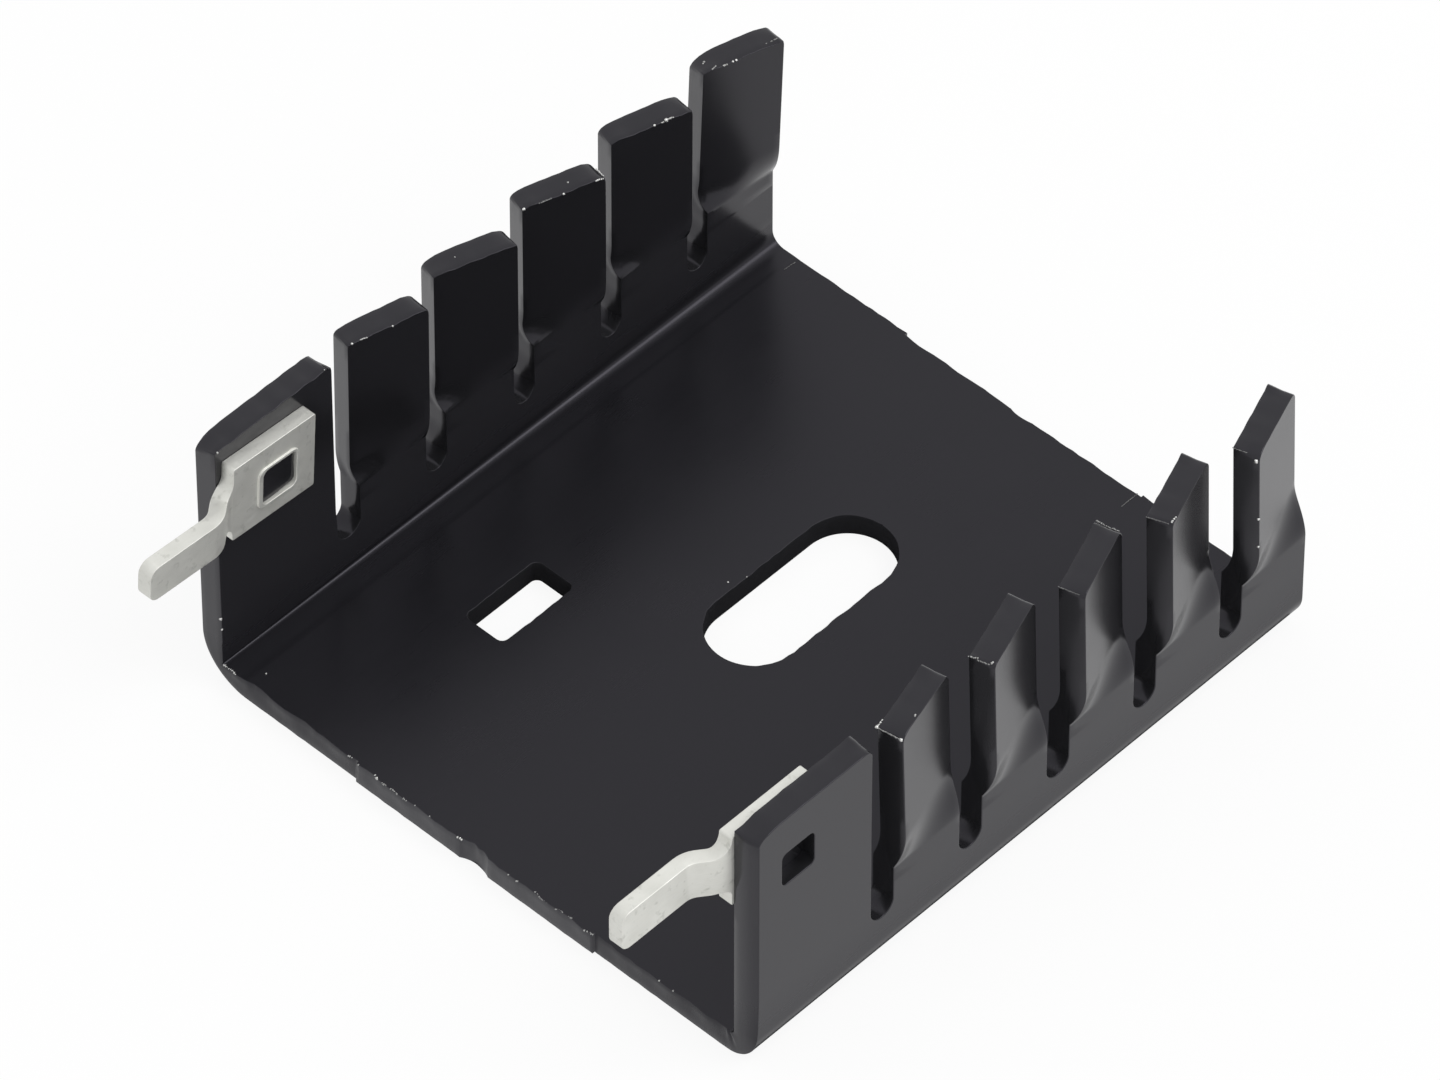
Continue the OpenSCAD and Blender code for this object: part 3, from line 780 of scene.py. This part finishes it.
for side, node in ((RIGHT, "right_solder_lug"), (LEFT, "left_solder_lug")):
    low, high = PLATE_Z[side] - PLATE_H / 2, PLATE_Z[side] + PLATE_H / 2
    pin_z, pin_end = PIN_Z[side], FRONT - PIN_REACH
    strip = rounded_block((0, FRONT, low), (LUG_T, FRONT + PLATE_L, high), 0)
    for z in (pin_z - PIN_H[side] / 2, pin_z + PIN_H[side] / 2):
        slice_at(strip, strip.faces, (0, 0, z), (0, 0, 1))
    mouth = [f for f in strip.faces
             if f.normal.y < -FACING and abs(f.calc_center_median().z - pin_z) < 0.1]
    pulled = bmesh.ops.extrude_discrete_faces(strip, faces=mouth)["faces"]
    pulled = list(dict.fromkeys(v for f in pulled for v in f.verts))
    bmesh.ops.translate(strip, verts=pulled, vec=(0, -PIN_REACH, 0))
    bmesh.ops.remove_doubles(strip, verts=strip.verts, dist=1e-5)
    bmesh.ops.dissolve_limit(strip, angle_limit=math.radians(1), verts=strip.verts,
                             edges=strip.edges)
    strip.normal_update()
    for radius, pick in (
            (PIN_TIP, lambda p: p.y < pin_end + 0.1 and p.z > pin_z),
            (PIN_HEEL, lambda p: p.y < pin_end + 0.1 and p.z < pin_z),
            (SHOULDER_R, lambda p: abs(p.y - FRONT) < NEAR and pin_z < p.z < high - 0.1),
            (HEEL_R, lambda p: abs(p.y - FRONT) < NEAR and low + 0.1 < p.z < pin_z),
            (PLATE_R, lambda p: p.y > FRONT - NEAR and (p.z < low + NEAR or p.z > high - NEAR))):
        round_edges(strip, [e for e in strip.edges
                            if runs_along(e, Vector((1, 0, 0))) and pick(middle_of(e))], radius, 8)
    lug = as_object(strip, node + "_tinned")
    half = CLINCH_W / 2 + CLINCH_GAP
    lip = half + LIP_W
    centre = Vector((0, CLINCH_Y, CLINCH_Z))
    strike(lug, [rounded_block(centre + Vector((-LIP_H, -lip - LIP_FRONT, -lip)),
                               centre + Vector((LIP_ROOT, lip, lip)),
                               CLINCH_R + LIP_W, up=(1, 0, 0))], "UNION")
    strike(lug, [rounded_block(centre + Vector((BEHIND, -half, -half)),
                               centre + Vector((BEYOND, half, half)),
                               CLINCH_R + CLINCH_GAP, up=(1, 0, 0))], "DIFFERENCE")
    bm = cleaned(lug.data)
    rim = []
    for e in bm.edges:
        flat = [abs(f.normal.x) > FACING for f in e.link_faces]
        if len(flat) == 2 and flat[0] != flat[1]:
            rim.append(e)
    round_edges(bm, rim, LUG_RIM, 3)
    for k in range(JOG_ROWS + 1):
        slice_at(bm, bm.faces, (0, FRONT - jog_long * k / JOG_ROWS, 0), (0, 1, 0))
    back, rise, tilt = CLINCH_OFF[side]
    knock = (Matrix.Translation(centre + Vector((0, back, rise)))
             @ Matrix.Rotation(math.radians(tilt), 4, "X") @ Matrix.Translation(-centre))
    for v in bm.verts:
        v.co = knock @ bent(v.co) * MM
        v.co.x *= side
    if side == LEFT:
        bmesh.ops.reverse_faces(bm, faces=bm.faces)
    for f in bm.faces:
        f.smooth = True
    bm.to_mesh(lug.data)
    bm.free()
    keep_faces_flat(lug, False)
    lug.data.materials.append(tin)
    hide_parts(node)
    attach(lug, "root")

# ---------------------------------------------------------- floor and studio
# A sheet of matt white paper under a white tent with one soft lamp. It shows white, with a faint
# shadow, to the camera and in reflections of what lies beside the heat sink. Reflections of the
# shade under it are dark.
PAPER_SIZE, PAPER_Z = 1.5, -0.00002              # metres
PAPER_GLOW = 0.9                                 # share of the paper's white that has no shadow
TENT_LIGHT, TENT_SEEN = 0.75, 1.0

paper_white, tree = new_material("matt_white_paper")
rays = add_node(tree, "ShaderNodeLightPath").outputs
where = add_node(tree, "ShaderNodeTexCoord").outputs["Object"]
where = add_node(tree, "ShaderNodeVectorMath", {"operation": "ABSOLUTE"}, i0=where).outputs[0]
where = add_node(tree, "ShaderNodeSeparateXYZ", i0=where).outputs
beside = add_node(tree, "ShaderNodeMath", {"operation": "GREATER_THAN"}, i0=where["X"],
                  i1=WIDE / 2 * MM).outputs[0]
before = add_node(tree, "ShaderNodeMath", {"operation": "GREATER_THAN"}, i0=where["Y"],
                  i1=LONG / 2 * MM).outputs[0]
clear = add_node(tree, "ShaderNodeMath", {"operation": "MAXIMUM"}, i0=beside, i1=before).outputs[0]
clear = add_node(tree, "ShaderNodeMath", {"operation": "MULTIPLY"}, i0=clear,
                 i1=rays["Is Glossy Ray"]).outputs[0]
shown = add_node(tree, "ShaderNodeMath", {"operation": "MAXIMUM"}, i0=rays["Is Camera Ray"],
                 i1=clear).outputs[0]
shown = add_node(tree, "ShaderNodeMath", {"operation": "MULTIPLY"}, i0=shown,
                 i1=PAPER_GLOW).outputs[0]
# painted shade: seen in reflections, the paper under the heat sink takes the dark colour
under = add_node(tree, "ShaderNodeMath", {"operation": "SUBTRACT"}, i0=rays["Is Glossy Ray"],
                 i1=clear).outputs[0]
paper_tone = add_node(tree, "ShaderNodeMix", {"data_type": "RGBA"}, i0=under,
                      i6=linear("#f6f6f6"), i7=linear("#3a3a3c")).outputs[2]
matt = add_node(tree, "ShaderNodeBsdfDiffuse", Color=paper_tone).outputs[0]
glow = add_node(tree, "ShaderNodeEmission", Color=linear("#ffffff"), Strength=1.0).outputs[0]
mixed = add_node(tree, "ShaderNodeMixShader", i0=shown, i1=matt, i2=glow).outputs[0]
add_node(tree, "ShaderNodeOutputMaterial", Surface=mixed)
paper = bmesh.new()
bmesh.ops.create_grid(paper, x_segments=1, y_segments=1, size=PAPER_SIZE)
bmesh.ops.translate(paper, verts=paper.verts, vec=(0, 0, PAPER_Z))
floor = as_object(paper, "paper_floor")
floor.data.materials.append(paper_white)

world = bpy.data.worlds.new("white_tent")
bpy.context.scene.world = world
world.use_nodes = True
tree = world.node_tree
tree.nodes.clear()
rays = add_node(tree, "ShaderNodeLightPath").outputs
shown = add_node(tree, "ShaderNodeMath", {"operation": "MAXIMUM"}, i0=rays["Is Camera Ray"],
                 i1=rays["Is Glossy Ray"]).outputs[0]
shown = add_node(tree, "ShaderNodeMath", {"operation": "MAXIMUM"}, i0=shown,
                 i1=rays["Is Transmission Ray"]).outputs[0]
light = add_node(tree, "ShaderNodeBackground", Color=linear("#ffffff"),
                 Strength=TENT_LIGHT).outputs[0]
bright = add_node(tree, "ShaderNodeBackground", Color=linear("#ffffff"),
                  Strength=TENT_SEEN).outputs[0]
mixed = add_node(tree, "ShaderNodeMixShader", i0=shown, i1=light, i2=bright).outputs[0]
add_node(tree, "ShaderNodeOutputWorld", Surface=mixed)

lamp = bpy.data.lights.new("soft_box", "AREA")
lamp.shape = "DISK"
lamp.size = 0.5
lamp.energy = 2.2
lamp_obj = bpy.data.objects.new("soft_box", lamp)
lamp_obj.location = (0.35, 0.25, 0.6)
lamp_obj.rotation_euler = (-lamp_obj.location).to_track_quat("-Z", "Y").to_euler()
bpy.context.scene.collection.objects.link(lamp_obj)

# ------------------------------------------------------------------- camera
# The photograph's view: 43.4 degrees round from the front and 47.9 degrees down, through a long
# lens half a metre away.
AZIMUTH, ELEVATION = math.radians(43.44), math.radians(47.94)
DISTANCE, FOCAL, SENSOR = 500.5, 333.3, 36
BODY_MID, AIM_RIGHT, AIM_UP = Vector((0, -0.434, 0.526)), -0.970, 3.865
look = Vector((-math.sin(AZIMUTH) * math.cos(ELEVATION), math.cos(AZIMUTH) * math.cos(ELEVATION),
               -math.sin(ELEVATION)))
right = Vector((math.cos(AZIMUTH), math.sin(AZIMUTH), 0))
up = right.cross(look)
aim = BODY_MID + AIM_RIGHT * right + AIM_UP * up
camera = bpy.data.cameras.new("camera")
camera.sensor_width = SENSOR
camera.lens = FOCAL
camera_obj = bpy.data.objects.new("camera", camera)
camera_obj.location = (aim - DISTANCE * look) * MM
camera_obj.rotation_euler = look.to_track_quat("-Z", "Y").to_euler()
bpy.context.scene.collection.objects.link(camera_obj)
bpy.context.scene.camera = camera_obj
bpy.context.scene.view_settings.view_transform = "Standard"
